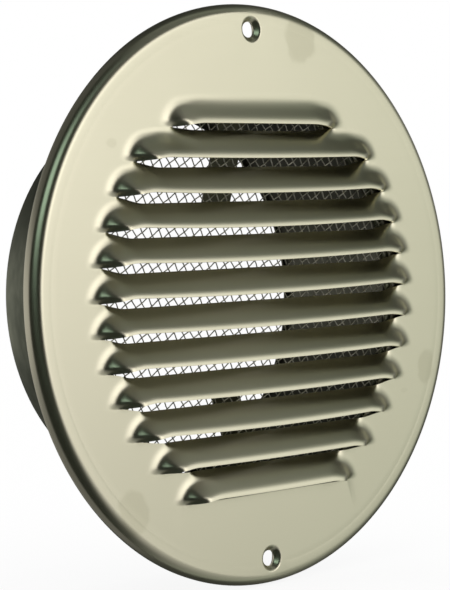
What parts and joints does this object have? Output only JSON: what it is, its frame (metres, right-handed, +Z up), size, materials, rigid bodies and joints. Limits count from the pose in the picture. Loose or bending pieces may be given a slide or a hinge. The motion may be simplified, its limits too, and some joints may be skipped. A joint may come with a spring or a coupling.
{
  "type": "round louvred vent cover",
  "caption": "Round stainless wall vent: pressed louvre plate with turned-back rim and screw holes, short duct collar behind it and a woven insect screen between them.",
  "frame": {"origin": "on the collar's axis, in the plane of the wall that the rim lies against", "axes": "+X to the right seen from the front, +Y back into the wall along the collar, +Z up"},
  "size_m": [0.18, 0.0542, 0.18],
  "materials": {
    "plate_steel": "satin stainless sheet with faint brushing",
    "collar_steel": "dull mill finish stainless sheet",
    "screen_wire": "drawn stainless wire"
  },
  "bodies": {
    "root": {"louvre_plate": "plate_steel", "collar": "collar_steel", "insect_screen": "screen_wire"}
  },
  "joints": []
}
